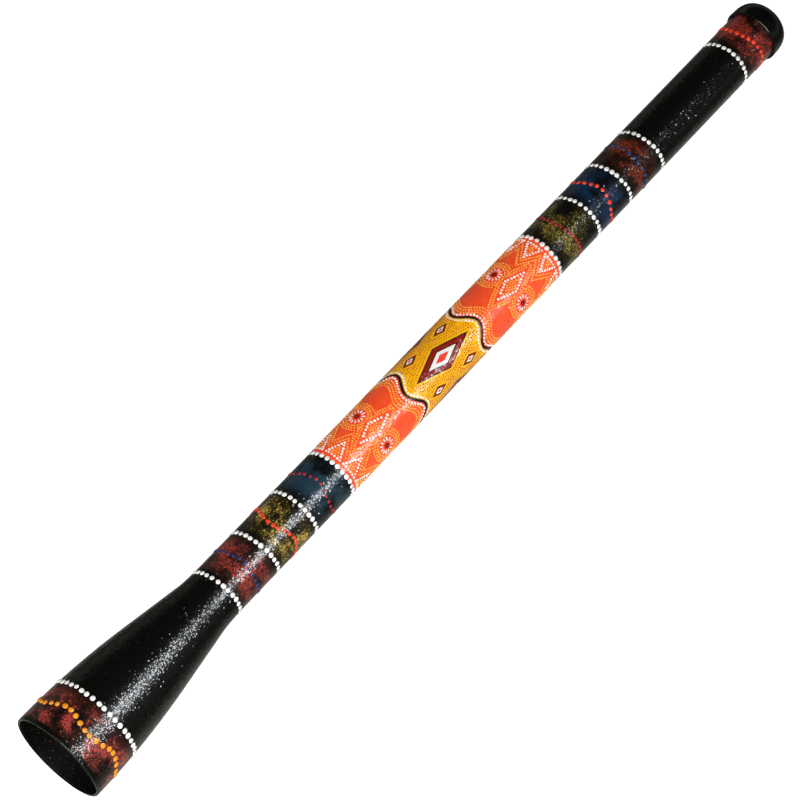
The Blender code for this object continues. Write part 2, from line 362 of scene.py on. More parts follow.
def turned(name, outline, material, body, node, sides=128, sweep=math.tau, begin=0.0, lining=None):
    """A turned piece that stands for a CAD node. Its outline's points are (radius, height above the rim).

    A sweep under a full turn leaves a split and closes its two ends. A lining is the number of the
    outline's point from which faces take another material, and that material.
    """
    full = sweep >= math.tau
    rows = sides if full else sides + 1
    count = len(outline)
    points, faces = [], []
    for row in range(rows):
        angle = begin + sweep * row / sides
        for radius, height in outline:
            points.append((BELL_X + height, radius * math.cos(angle), radius * math.sin(angle)))
    for row in range(sides):
        next_row = (row + 1) % rows
        for index in range(count):
            after = (index + 1) % count
            here, there = row * count, next_row * count
            faces.append((here + index, here + after, there + after, there + index))
    if not full:
        faces.append(tuple(range(count - 1, -1, -1)))
        faces.append(tuple(range((rows - 1) * count, rows * count)))
    mesh = bpy.data.meshes.new(name)
    mesh.from_pydata(points, [], faces)
    piece = new_object(name, mesh)
    mesh.materials.append(material)
    if lining:
        mesh.materials.append(lining[1])
        for polygon in mesh.polygons[: sides * count]:
            polygon.material_index = int(polygon.index % count >= lining[0])
    mesh.flip_normals()
    mesh.shade_smooth()
    mesh.set_sharp_from_angle(angle=SHARP_EDGE)
    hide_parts(node)
    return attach(piece, body)


def bell_outer_r(height):
    """The bell's outer radius: a parabola from the rim, then a straight cone."""
    if height < BELL_CURVED_LENGTH:
        return BELL_R - BELL_SLOPE * height**2 / (2 * BELL_CURVED_LENGTH)
    return BELL_R - BELL_SLOPE * (height - BELL_CURVED_LENGTH / 2)


def tube_outer_r(height):
    """The outer tube's radius, with the soft bend where the flare meets the straight tube."""
    start, end = NECK - NECK_RUN_IN, NECK + NECK_RUN_OUT
    if height <= start:
        return bell_outer_r(height)
    if height >= end:
        return TUBE_R
    first, middle = bell_outer_r(start), (NECK, NECK_R - 0.0002)
    t = (height - start) / (end - start)
    pull = (middle[0] - start) / (end - start)
    # A quadratic curve from the cone to the tube, which leaves each of them along its own line
    s = t if abs(1 - 2 * pull) < 1e-6 else (-pull + math.sqrt(pull**2 + (1 - 2 * pull) * t)) / (1 - 2 * pull)
    return first * (1 - s) ** 2 + middle[1] * 2 * s * (1 - s) + TUBE_R * s**2


def outer_tube_outline():
    """(outline, number of its first point on the inside)."""
    rounding, chamfer = 0.0011, 0.0004
    steps = 44
    bell_heights = [rounding + (NECK + NECK_RUN_OUT - rounding) * step / steps for step in range(steps + 1)]
    outside = [(TUBE_R, TUBE_TOP - chamfer)]
    outside += [(tube_outer_r(height), height) for height in reversed(bell_heights)]
    outside += arc(BELL_R - rounding, rounding, rounding, -15, -90, 5)
    rim_inner_r = BELL_R - BELL_WALL
    inside = arc(rim_inner_r + rounding, rounding, rounding, -90, -165, 5)
    first_inside = len(outside) + 3
    for height in bell_heights[1::2]:
        inside.append((max(tube_outer_r(height) - BELL_WALL + 0.0002 * height / NECK, BORE_R), height))
    inside += [(BORE_R, TUBE_TOP - chamfer), (BORE_R + chamfer, TUBE_TOP), (TUBE_R - chamfer, TUBE_TOP)]
    return outside + inside, first_inside


# ---- paint on the outer tube

# Above this height (mm) the outer tube is straight
STRAIGHT_FROM = 200
# How finely paint is laid on (mm): along a stroke, across a strip, and across what a strip reserves
STROKE_STEP, COLUMN_WIDTH, RESERVED_WIDTH = 0.8, 1.6, 1.5
# Paint all round the tube: its steps round, the height of its rows (mm), and the steps of a line round it
SLEEVE_STEPS, SLEEVE_ROW = 144, 8.0
LINE_STEPS = 240


def slope_at(height):
    step = 0.0005
    return (tube_outer_r(height + step) - tube_outer_r(height - step)) / (2 * step)


def on_tube(u, v, lift):
    """The point at (u, v), lifted off the outer tube along its normal. All three are in millimetres."""
    angle = u / (TUBE_R / MM)
    outward = FRONT * math.cos(angle) + SIDE * math.sin(angle)
    height = v * MM
    if v > STRAIGHT_FROM:
        return Vector((BELL_X + height, 0, 0)) + outward * (TUBE_R + lift * MM)
    lean = Vector((-slope_at(height), 0, 0))
    normal = (outward + lean).normalized()
    return Vector((BELL_X + height, 0, 0)) + outward * tube_outer_r(height) + normal * lift * MM


def smooth_line(points, step):
    """A Catmull-Rom curve through the points, resampled about every step."""
    count = len(points)
    line = []
    for index in range(count - 1):
        p = [points[min(max(index + k - 1, 0), count - 1)] for k in range(4)]
        pieces = max(1, round(math.dist(p[1], p[2]) / step))
        for piece in range(pieces):
            t = piece / pieces
            weights = (-t + 2 * t**2 - t**3, 2 - 5 * t**2 + 3 * t**3, t + 4 * t**2 - 3 * t**3, -(t**2) + t**3)
            line.append(tuple(sum(w * q[axis] for w, q in zip(weights, p)) / 2 for axis in range(len(p[0]))))
    line.append(tuple(points[-1]))
    return line


def normals_of(line):
    """The unit direction to the right of the line at each of its points."""
    result = []
    count = len(line)
    for index in range(count):
        before, after = line[max(index - 1, 0)], line[min(index + 1, count - 1)]
        du, dv = after[0] - before[0], after[1] - before[1]
        length = math.hypot(du, dv) or 1.0
        result.append((dv / length, -du / length))
    return result


class Taken:
    """The places on the tube that already hold paint, so that dots don't run into it."""

    CELL = 4.0

    def __init__(self):
        self.cells = {}

    def key(self, u, v):
        return int((u % AROUND) // self.CELL), int(v // self.CELL)

    def add(self, u, v, radius):
        self.cells.setdefault(self.key(u, v), []).append((u % AROUND, v, radius))

    def free(self, u, v, radius):
        columns = int(AROUND // self.CELL) + 1
        column, row = self.key(u, v)
        for i in (-1, 0, 1):
            for j in (-1, 0, 1):
                for other_u, other_v, other_radius in self.cells.get(((column + i) % columns, row + j), ()):
                    across = abs(other_u - u % AROUND)
                    across = min(across, AROUND - across)
                    if math.hypot(across, other_v - v) < (radius + other_radius) * 0.97:
                        return False
        return True


taken = Taken()


class Paint:
    """One colour of paint, gathered into one mesh that rides with the outer tube."""

    def __init__(self, name, material, lift):
        self.name = name
        self.material = material
        self.lift = lift
        self.points = []
        self.faces = []

    def put(self, u, v, lift):
        self.points.append(on_tube(u, v, lift))
        return len(self.points) - 1

    def skin(self, loops, flipped=False):
        """Faces between each loop of points and the next."""
        for lower, upper in zip(loops, loops[1:]):
            for k in range(len(lower)):
                after = (k + 1) % len(lower)
                if flipped:
                    self.faces.append((lower[after], lower[k], upper[k], upper[after]))
                else:
                    self.faces.append((lower[k], lower[after], upper[after], upper[k]))

    def dot(self, u, v, radius, sides=8):
        """A drop of paint with a domed top. Its rounded foot is just under the surface."""
        scale = random.uniform(0.93, 1.07)
        stretch = random.uniform(0.96, 1.05)
        spin = random.uniform(0, math.tau)
        u += random.uniform(-0.09, 0.09) * radius
        v += random.uniform(-0.09, 0.09) * radius
        dome = radius * 0.30 * random.uniform(0.85, 1.15)
        # At a wide place of the bell a millimetre of u covers more than a millimetre
        wide = TUBE_R / tube_outer_r(v * MM) if v < STRAIGHT_FROM else 1.0
        rings = ((1.0, -0.12), (0.97, dome * 0.45), (0.78, dome * 0.82), (0.42, dome * 0.97))
        if sides <= 8:
            rings = ((1.0, -0.10), (0.86, dome * 0.66), (0.45, dome * 0.97))
        loops = []
        for share, height in rings:
            loop = []
            for corner in range(sides):
                angle = spin + math.tau * corner / sides
                du = radius * scale * stretch * share * math.cos(angle) * wide
                dv = radius * scale / stretch * share * math.sin(angle)
                loop.append(self.put(u + du, v + dv, self.lift + height))
            loops.append(loop)
        self.faces.append(tuple(loops[0]))
        self.skin(loops, flipped=True)
        self.faces.append(tuple(reversed(loops[-1])))
        taken.add(u, v, radius)

    def free_dot(self, u, v, radius):
        if taken.free(u, v, radius):
            self.dot(u, v, radius)

    def strip(self, left, right, closed=False):
        """Raised paint between two lines with the same count of points. Its edges come down into the tube."""
        rows = []
        for (lu, lv), (ru, rv) in zip(left, right):
            width = math.dist((lu, lv), (ru, rv))
            edge = min(0.3, 0.18 / max(width, 0.2))
            rows.append((lu, lv, ru, rv, width, edge))
        columns = max(1, math.ceil(max(row[4] for row in rows) / COLUMN_WIDTH))
        loops = []
        for lu, lv, ru, rv, width, edge in rows:
            shares = [0.0] + [edge + (1 - 2 * edge) * k / columns for k in range(columns + 1)] + [1.0]
            lifts = [-0.12] + [self.lift * min(1.0, 0.35 + width)] * (columns + 1) + [-0.12]
            loop = [self.put(lu + (ru - lu) * s, lv + (rv - lv) * s, lift) for s, lift in zip(shares, lifts)]
            loop += [self.put(ru, rv, -0.25), self.put(lu, lv, -0.25)]
            loops.append(loop)
            parts = max(1, math.ceil(width / RESERVED_WIDTH))
            for part in range(parts):
                s = (part + 0.5) / parts
                taken.add(lu + (ru - lu) * s, lv + (rv - lv) * s, max(width / parts / 2, 0.3) + 0.25)
        self.skin(loops + loops[:1] if closed else loops)
        if not closed:
            self.faces.append(tuple(reversed(loops[0])))
            self.faces.append(tuple(loops[-1]))

    def stroke(self, points, widths):
        """A brush stroke along a smooth line, with a width at each of its points."""
        line = smooth_line([(*point, width) for point, width in zip(points, widths)], STROKE_STEP)
        sides = normals_of(line)
        left = [(u - a * w / 2, v - b * w / 2) for (u, v, w), (a, b) in zip(line, sides)]
        right = [(u + a * w / 2, v + b * w / 2) for (u, v, w), (a, b) in zip(line, sides)]
        self.strip(left, right)

    def disc(self, u, v, radius):
        """A flat round patch, laid on in rings so that it follows the tube."""
        sides = max(16, round(radius * 8))
        steps = max(1, math.ceil(radius / 1.5))
        loops = []
        top = 1.0 - 0.12 / radius
        shares = [(1.0, -0.2), (top, self.lift)]
        shares += [(top * (steps - k) / steps, self.lift) for k in range(1, steps)]
        angles = [math.tau * k / sides for k in range(sides)]
        for share, lift in shares:
            reach = radius * share
            loops.append([self.put(u + reach * math.cos(a), v + reach * math.sin(a), lift) for a in angles])
        self.faces.append(tuple(loops[0]))
        self.skin(loops, flipped=True)
        middle = self.put(u, v, self.lift)
        for k in range(sides):
            self.faces.append((loops[-1][(k + 1) % sides], loops[-1][k], middle))
        taken.add(u, v, radius + 0.2)

    def sleeve(self, low_line, high_line):
        """Paint all round the tube between two heights, each a function of u."""
        loops = []
        columns = []
        for k in range(SLEEVE_STEPS):
            u = AROUND * k / SLEEVE_STEPS
            columns.append((u, low_line(u), high_line(u)))
        rows = max(1, round((columns[0][2] - columns[0][1]) / SLEEVE_ROW))
        loops.append([self.put(u, low, -0.2) for u, low, high in columns])
        for row in range(rows + 1):
            share = row / rows
            loops.append([self.put(u, low + (high - low) * share, self.lift) for u, low, high in columns])
        loops.append([self.put(u, high, -0.2) for u, low, high in columns])
        self.skin(loops + loops[:1])

    def finish(self):
        mesh = bpy.data.meshes.new(self.name)
        mesh.from_pydata(self.points, [], self.faces)
        mesh.materials.append(self.material)
        mesh.shade_smooth()
        mesh.set_sharp_from_angle(angle=math.radians(60))
        piece = new_object(self.name, mesh)
        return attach(piece, "outer")


PAINTS = {
    "panel_field": ((250, 78, 36), (255, 92, 48), 0.06),
    "golden_band": ((255, 190, 12), (250, 172, 18), 0.12),
    "black_shapes": ((14, 12, 11), (30, 27, 25), 0.17),
    "dark_red_shapes": ((132, 24, 16), (152, 36, 24), 0.22),
    "black_cores": ((16, 14, 13), (34, 31, 29), 0.27),
    "white_shapes": ((248, 246, 242), (232, 230, 226), 0.32),
    "red_shapes": ((244, 62, 32), (228, 50, 30), 0.37),
    "white_ring_dots": ((250, 249, 246), (238, 237, 233), 0.0),
    "white_fine_dots": ((252, 246, 236), (246, 236, 224), 0.1),
    "yellow_fine_dots": ((255, 194, 76), (255, 170, 56), 0.1),
    "brown_fine_dots": ((196, 84, 10), (170, 66, 12), 0.1),
    "rim_yellow_dots": ((248, 160, 34), (236, 138, 26), 0.0),
    "orange_red_dots": ((246, 70, 42), (228, 56, 38), 0.0),
    "crimson_dots": ((188, 40, 40), (156, 34, 38), 0.0),
    "blue_dots": ((30, 60, 118), (24, 50, 98), 0.0),
}
paints = {}


def dot_row(paint, v, radius, spacing, wave, waves=1, phase=0.0):
    """A row of dots all the way round, hand-placed: evenly spaced, with a slow wave."""
    row_r = tube_outer_r(v * MM) / MM
    count = round(math.tau * row_r / spacing)
    for index in range(count):
        turn = math.tau * (index + random.uniform(-0.07, 0.07)) / count
        height = v + wave * math.sin(waves * turn + phase) + random.uniform(-0.25, 0.25)
        paint.dot(turn * TUBE_R / MM, height, radius * random.uniform(0.93, 1.07), sides=12)


# The white rows between the bands: height, dot radius, spacing and height of the wave (mm), one wave each
WHITE_ROWS = (
    (43, 2.3, 5.9, 0.3),
    (184.4, 2.15, 5.4, 1.7),
    (230.4, 2.15, 5.4, 1.8),
    (277.6, 2.15, 5.4, 1.1),
    (323.6, 2.2, 5.5, 0.5),
    (597.0, 2.2, 5.5, 0.4),
    (649.8, 2.1, 5.4, 1.9),
    (693.8, 2.1, 5.4, 2.2),
    (739.4, 2.1, 5.4, 2.3),
    (862.4, 2.1, 5.4, 1.3),
)
# The coloured rows along their middles: paint, the same four, then how many waves and their phase
COLOURED_ROWS = (
    ("rim_yellow_dots", 22.5, 2.3, 6.3, 2.8, 5, -2.18),
    ("blue_dots", 209, 1.6, 5.6, 1.3, 3, 1.8),
    ("orange_red_dots", 252.8, 1.8, 5.0, 3.3, 3, -0.58),
    ("crimson_dots", 300.7, 1.4, 5.2, 2.6, 3, 2.2),
    ("crimson_dots", 622.5, 1.5, 4.4, 2.6, 2, -0.3),
    ("orange_red_dots", 671.5, 1.9, 5.9, 2.8, 3, 1.57),
    ("blue_dots", 718.3, 1.8, 6.2, 0.8, 1, 3.1),
    ("orange_red_dots", 885.2, 2.0, 5.8, 3.0, 2, -0.2),
)


def paint_bands():
    """The rows of dots round the tube: white ones between the bands, coloured ones along their middles."""
    for row in WHITE_ROWS:
        dot_row(paints["white_ring_dots"], *row)
    for paint, *row in COLOURED_ROWS:
        dot_row(paints[paint], *row)


def dots_along(paint, points, radius, spacing):
    """Dots at an even spacing along a smooth line, left out where the paint is already taken."""
    line = smooth_line(points, 0.3)
    total = sum(math.dist(a, b) for a, b in zip(line, line[1:]))
    gap = total / max(1, round(total / spacing))
    travelled, due = 0.0, 0.0
    for a, b in zip(line, line[1:]):
        length = math.dist(a, b)
        while due <= travelled + length:
            share = (due - travelled) / length if length else 0.0
            u = a[0] + (b[0] - a[0]) * share + random.uniform(-0.16, 0.16)
            v = a[1] + (b[1] - a[1]) * share + random.uniform(-0.16, 0.16)
            paint.free_dot(u, v, radius * random.uniform(0.86, 1.12))
            due += gap
        travelled += length


def circle(u, v, radius, steps=24):
    turns = [math.tau * step / steps for step in range(steps + 1)]
    return [(u + radius * math.cos(turn), v + radius * math.sin(turn)) for turn in turns]


def round_line(height, distance=0.0, shift=0.0):
    """A line round the tube at a height that is a function of u, moved along its normal or up."""
    line = []
    for step in range(LINE_STEPS + 1):
        u = AROUND * step / LINE_STEPS
        slope = (height(u + 0.1) - height(u - 0.1)) / 0.2
        length = math.hypot(slope, 1.0)
        line.append((u - slope / length * distance, height(u) + distance / length + shift))
    return line


def is_inside(point, corners):
    """Whether the point is inside the polygon."""
    u, v = point
    odd = False
    for (u1, v1), (u2, v2) in zip(corners, corners[1:] + corners[:1]):
        if (v1 > v) != (v2 > v) and u < (u2 - u1) * (v - v1) / (v2 - v1) + u1:
            odd = not odd
    return odd


# The panel's pattern repeats evenly round the tube. Sizes are in millimetres.
REPEATS = 4
REPEAT = AROUND / REPEATS
PANEL_LOW, PANEL_HIGH = 324, 597
BAND_LOW, BAND_HIGH, BAND_WAVE = 415, 499, 5.0
BAND_MIDDLE = (BAND_LOW + BAND_HIGH) / 2
# Dots: their radii and spacings, and the spacing of their rows
FINE_DOT, DOT_STEP, ROW_STEP = 0.82, 2.4, 2.2
WHITE_DOT, WHITE_SPACING = 1.12, 2.9
BROWN_DOT = 0.7
# The black line on the golden band's edge, and where the dots and the rows beside it stand
LINE_WIDTH = 2.8
WHITE_ROW_GAP, FIRST_ROW_GAP, FIELD_ROW_STEP = 1.65, 5.2, 3.1
FIELD_ROWS = 3
# Nested diamonds: each one's share of the first, their half sizes, and how far out brown dots go with them
NESTED = (
    ("black_shapes", 1.0),
    ("dark_red_shapes", 0.9),
    ("black_cores", 0.6),
    ("white_shapes", 0.53),
    ("red_shapes", 0.27),
)
LARGE_DIAMOND, SMALL_DIAMOND, SMALL_OFFSET = (11.5, 34.0), (4.6, 9.5), 20
BROWN_ROWS, BROWN_REACH = 3, 38
# Rosettes: the disc's radius, its rays (their number, and the distance and width at three points), its dots
ROSETTE_DISC, ROSETTE_RAYS, ROSETTE_DOTS = 2.8, 12, 6.8
RAY_REACHES, RAY_WIDTHS = (1.3, 3.0, 4.8), (0.5, 1.5, 0.4)
# The triangles: the distance of their feet from the border, their half width and their height
TOOTH_FOOT, TOOTH_HALF_WIDTH, TOOTH_HEIGHT = 5, 7.4, 15
# The dotted diamonds of the fields: half width and half height
FIELD_DIAMOND = (6.2, 17.0)


def dotted_edges(paint, corners, radius, spacing):
    for start, end in zip(corners, corners[1:] + corners[:1]):
        dots_along(paint, [start, end], radius, spacing)


def dotted_patch(corners):
    """A patch edged with white dots, its inside filled with rows of yellow ones."""
    dotted_edges(paints["white_fine_dots"], corners, WHITE_DOT, WHITE_SPACING)
    low_u, high_u = min(c[0] for c in corners), max(c[0] for c in corners)
    low_v, high_v = min(c[1] for c in corners), max(c[1] for c in corners)
    rows = math.ceil((high_v - low_v) / ROW_STEP)
    columns = math.ceil((high_u - low_u) / DOT_STEP)
    for row in range(rows):
        for column in range(columns):
            u = low_u + DOT_STEP * (column + (row % 2) / 2) + random.uniform(-0.2, 0.2)
            v = low_v + ROW_STEP * row + random.uniform(-0.2, 0.2)
            if is_inside((u, v), corners):
                paints["yellow_fine_dots"].free_dot(u, v, FINE_DOT)


def diamond(u, v, half_width, half_height):
    return [(u, v - half_height), (u + half_width, v), (u, v + half_height), (u - half_width, v)]


def filled_diamond(paint, u, v, half_width, half_height):
    """A diamond of paint, laid on in narrow rows so that it follows the tube."""
    steps = 2 * math.ceil(half_height / 1.2)
    left, right = [], []
    for step in range(steps + 1):
        share = 2 * step / steps - 1
        reach = max(half_width * (1 - abs(share)), 0.08)
        left.append((u - reach, v + half_height * share))
        right.append((u + reach, v + half_height * share))
    paint.strip(left, right)


def nested_diamonds(u, v, half_width, half_height):
    """Diamonds one on another, each a fixed share of the first, with brown dots round them all."""
    for paint, share in NESTED:
        filled_diamond(paints[paint], u, v, half_width * share, half_height * share)
    for row in range(BROWN_ROWS):
        share = 1 + (DOT_STEP + DOT_STEP * row) / half_width
        wide, high = half_width * share, half_height * share
        kept = min(1.0, BROWN_REACH / high)
        for across in (-1, 1):
            for up in (-1, 1):
                start = (u + across * wide * (1 - kept), v + up * high * kept)
                dots_along(paints["brown_fine_dots"], [start, (u + across * wide, v)], BROWN_DOT, DOT_STEP)


def rosette(u, v):
    """A plain disc with short rays round it and a ring of dots round those."""
    paints["dark_red_shapes"].disc(u, v, ROSETTE_DISC)
    for ray in range(ROSETTE_RAYS):
        turn = math.tau * ray / ROSETTE_RAYS
        reaches = [ROSETTE_DISC + reach for reach in RAY_REACHES]
        points = [(u + reach * math.cos(turn), v + reach * math.sin(turn)) for reach in reaches]
        paints["white_shapes"].stroke(points, RAY_WIDTHS)
    dots_along(paints["yellow_fine_dots"], circle(u, v, ROSETTE_DISC + ROSETTE_DOTS), FINE_DOT, DOT_STEP)


def band_low(u):
    return BAND_LOW - BAND_WAVE * math.cos(math.tau * u / REPEAT)


def band_high(u):
    return BAND_HIGH + BAND_WAVE * math.cos(math.tau * u / REPEAT)


def paint_edge(height, outward):
    """The golden band's edge: a black line between white dots, then yellow dots on the field's side."""
    half = LINE_WIDTH / 2
    paints["black_shapes"].strip(round_line(height, half)[:-1], round_line(height, -half)[:-1], closed=True)
    for side in (-1, 1):
        line = round_line(height, side * (half + WHITE_ROW_GAP))
        dots_along(paints["white_fine_dots"], line, WHITE_DOT, WHITE_SPACING)
    for row in range(FIELD_ROWS):
        shift = outward * (half + FIRST_ROW_GAP + FIELD_ROW_STEP * row)
        dots_along(paints["yellow_fine_dots"], round_line(height, shift=shift), FINE_DOT, DOT_STEP)


def paint_field(border, middle, inward):
    """One orange field: a row of triangles along its border, then rosettes and dotted diamonds in turn."""
    base = border + inward * TOOTH_FOOT
    teeth = [REPEAT * (k + 0.5) / 2 for k in range(2 * REPEATS)]
    half_width, half_height = FIELD_DIAMOND
    for u in teeth:
        foot = [(u - TOOTH_HALF_WIDTH, base), (u + TOOTH_HALF_WIDTH, base)]
        dotted_patch(foot + [(u, base + inward * TOOTH_HEIGHT)])
    for repeat in range(REPEATS):
        dotted_patch(diamond(REPEAT * repeat, middle, half_width, half_height))
        rosette(REPEAT * (repeat + 0.5), middle)
    yellow = paints["yellow_fine_dots"]
    for row in range(2):
        for u in teeth:
            reach = 1 + 0.42 * (row + 0.75)
            tip = (u, base + inward * TOOTH_HEIGHT * reach)
            for side in (-1, 1):
                foot = (u + side * REPEAT / 4, base + inward * 5.5 * (row + 0.9))
                dots_along(yellow, [foot, tip], FINE_DOT, DOT_STEP)
        for repeat in range(REPEATS):
            share = 1 + (3.6 + DOT_STEP * row) / half_width
            around = diamond(REPEAT * repeat, middle, half_width * share, half_height * share)
            dotted_edges(yellow, around, FINE_DOT, DOT_STEP)
            ring_r = ROSETTE_DISC + ROSETTE_DOTS + DOT_STEP * (row + 1)
            dots_along(yellow, circle(REPEAT * (repeat + 0.5), middle, ring_r, 36), FINE_DOT, DOT_STEP)


def paint_panel():
    """The orange panel: a golden band with nested diamonds, and a dotted field above and below it."""
    paints["panel_field"].sleeve(lambda u: PANEL_LOW, lambda u: PANEL_HIGH)
    paints["golden_band"].sleeve(band_low, band_high)
    paint_edge(band_high, 1)
    paint_edge(band_low, -1)
    for repeat in range(REPEATS):
        nested_diamonds(REPEAT * repeat, BAND_MIDDLE, *LARGE_DIAMOND)
    for repeat in range(REPEATS):
        for side in (-1, 1):
            nested_diamonds(REPEAT * (repeat + 0.5), BAND_MIDDLE + side * SMALL_OFFSET, *SMALL_DIAMOND)
    paint_field(PANEL_HIGH, (BAND_HIGH + PANEL_HIGH) / 2, -1)
    paint_field(PANEL_LOW, (BAND_LOW + PANEL_LOW) / 2, 1)


# ---- the pieces

# Clearances (m): round what is pressed on or slides, and on each side of a ring in its groove
FIT = 0.0003
GROOVE_FIT = 0.00015
EDGE_ROUNDING = 0.00025
INNER_WALL = 0.0018
INNER_R = inner_high.z
# The floors of the collar's grooves, and the mouthpiece's skirt bore and seal groove (radii in m)
GROOVE_FLOORS = {"guide_ring": 0.02015, "slide_seal": 0.02}
SKIRT_BORE_R, MOUTH_GROOVE_R = 0.0246, 0.01565


def heights(node):
    """How high above the bell's rim the CAD node starts and ends."""
    low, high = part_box(node)
    return low.x - BELL_X, high.x - BELL_X


def groove_of(node):
    """How high above the bell's rim the groove round a ring starts and ends."""
    low, high = heights(node)
    return low - GROOVE_FIT, high + GROOVE_FIT


def ring_outline(node, inner_r, rounding):
    """A plain ring with rounded edges, as wide and as far out as its CAD node."""
    outer_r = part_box(node)[1].z
    low, high = heights(node)
    return rounded([(outer_r, high), (outer_r, low), (inner_r, low), (inner_r, high)], rounding)


def seal_outline(node, inner_r):
    """A seal ring, pressed oval by the walls on either side of it."""
    low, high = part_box(node)
    middle_r, half_r = (high.z + inner_r) / 2, (high.z - inner_r) / 2
    middle_x, half_x = (high.x + low.x) / 2 - BELL_X, (high.x - low.x) / 2
    steps = 16
    points = []
    for step in range(steps):
        angle = math.radians(90) - math.tau * step / steps
        points.append((middle_r + half_r * math.cos(angle), middle_x + half_x * math.sin(angle)))
    return points


def build_tubes():
    outline, first_inside = outer_tube_outline()
    look = tube_look()
    lining = (first_inside, tube_inside_look())
    turned("outer_tube_shell", outline, look, "outer", "outer_tube", 192, lining=lining)
    outline = ring_outline("inner_tube", INNER_R - INNER_WALL, 0.0006)
    turned("slide_tube", outline, slide_tube_look(), "inner", "inner_tube", 160)


def build_bush():
    low, high = heights("throat_bush")
    shoulder = high - 0.0015
    bore_r = INNER_R + FIT
    body_r = BORE_R - FIT
    groove_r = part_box("wiper_ring")[1].z + FIT
    groove_low, groove_high = groove_of("wiper_ring")
    outline = [(TUBE_R, high), (TUBE_R, shoulder), (body_r, shoulder), (body_r, low), (bore_r, low)]
    outline += [(bore_r, groove_low), (groove_r, groove_low), (groove_r, groove_high)]
    outline += [(bore_r, groove_high), (bore_r, high)]
    # Painted shade: the bush is coloured dark grey so that its top edge, seen in the gap under the
    # mouthpiece's lip, reads as the shade there. The collar takes the same dark plastic.
    look = plastic_look("turned_acetal_painted_shade", (38, 38, 37), (52, 50, 46), 0.42)
    outline = rounded(outline, EDGE_ROUNDING)
    turned("throat_guide_bush", outline, look, "outer", "throat_bush")
    outline = ring_outline("wiper_ring", 0.01915, 0.0004)
    turned("felt_wiper", outline, felt_look(), "outer", "wiper_ring")
    return look


def build_collar(look):
    low, high = heights("slide_collar")
    outer_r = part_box("slide_collar")[1].z
    inner_r = INNER_R + FIT
    grooves = []
    for kind, floor in GROOVE_FLOORS.items():
        for place in ("lower", "upper"):
            grooves.append((*groove_of(f"{kind}_{place}"), floor))
    outline = [(outer_r, high)]
    for groove_low, groove_high, floor in sorted(grooves, reverse=True):
        outline += [(outer_r, groove_high), (floor, groove_high), (floor, groove_low), (outer_r, groove_low)]
    outline += [(outer_r, low), (inner_r, low), (inner_r, high)]
    outline = rounded(outline, EDGE_ROUNDING)
    turned("piston_collar", outline, look, "inner", "slide_collar")


def build_rings():
    guide = plastic_look("waxy_guide_plastic", (226, 222, 210), (176, 168, 150), 0.55)
    seal = rubber_look("greased_seal_rubber", (22, 22, 22), (44, 43, 41), 0.36)
    # The split is 1.5 mm wide at the middle of the ring's wall
    split = 0.0015 / 0.0208
    sweep, begin = math.tau - split, math.radians(90) + split / 2
    for place in ("lower", "upper"):
        node = "guide_ring_" + place
        outline = ring_outline(node, 0.0203, 0.0003)
        name = "split_" + node
        turned(name, outline, guide, "slide_rings", node, sweep=sweep, begin=begin)
        outline = seal_outline("slide_seal_" + place, 0.02015)
        turned("slide_o_ring_" + place, outline, seal, "slide_rings", "slide_seal_" + place)
    outline = seal_outline("mouthpiece_seal", 0.0158)
    turned("mouthpiece_o_ring", outline, seal, "mouth", "mouthpiece_seal")
    bumper = rubber_look("closing_bumper_rubber", (46, 44, 42), (78, 75, 70), 0.62)
    outline = ring_outline("closing_bumper", INNER_R + FIT, 0.0005)
    turned("closing_bumper_washer", outline, bumper, "inner", "closing_bumper")


def build_mouthpiece():
    """The domed cap, with its rounded lip, mouth hole, socket and spigot."""
    skirt_bottom = 0.9035
    skirt_r = mouth_high.z
    dome_bottom, dome_r, dome_height = 0.9064, 0.0262, 0.0231
    mouth_r, edge_r = 0.0140, 0.0155
    mouth_rounding, lip_rounding = 0.0013, 0.0009
    # The dome's outline is a superellipse of this power
    dome_power = 2 / 3
    ceiling = heights("closing_bumper")[1] + FIT
    outline = arc(mouth_r + mouth_rounding, LENGTH - mouth_rounding, mouth_rounding, 180, 90, 5)
    edge_angle = math.acos((edge_r / dome_r) ** 1.5)
    steps = 26
    for step in range(steps, 0, -1):
        angle = edge_angle * step / steps
        out, up = math.cos(angle) ** dome_power, math.sin(angle) ** dome_power
        outline.append((dome_r * out, dome_bottom + dome_height * up))
    outline.append((dome_r, dome_bottom))
    outline += arc(skirt_r - lip_rounding, skirt_bottom + lip_rounding, lip_rounding, 20, -90, 6)
    socket_r = INNER_R + FIT
    spigot_r = INNER_R - INNER_WALL - FIT
    socket_end = heights("inner_tube")[1] + FIT
    spigot_end = heights("mouthpiece")[0]
    groove_low, groove_high = groove_of("mouthpiece_seal")
    outline += [(SKIRT_BORE_R, skirt_bottom), (SKIRT_BORE_R, ceiling), (socket_r, ceiling)]
    outline += [(socket_r, socket_end), (spigot_r, socket_end)]
    outline += [(spigot_r, groove_high), (MOUTH_GROOVE_R, groove_high)]
    outline += [(MOUTH_GROOVE_R, groove_low), (spigot_r, groove_low)]
    outline += [(spigot_r, spigot_end), (mouth_r, spigot_end)]
    outline = rounded(outline, 0.0004)
    turned("domed_mouthpiece", outline, gloss_look(), "mouth", "mouthpiece", 160)


# ---- camera, floor and light

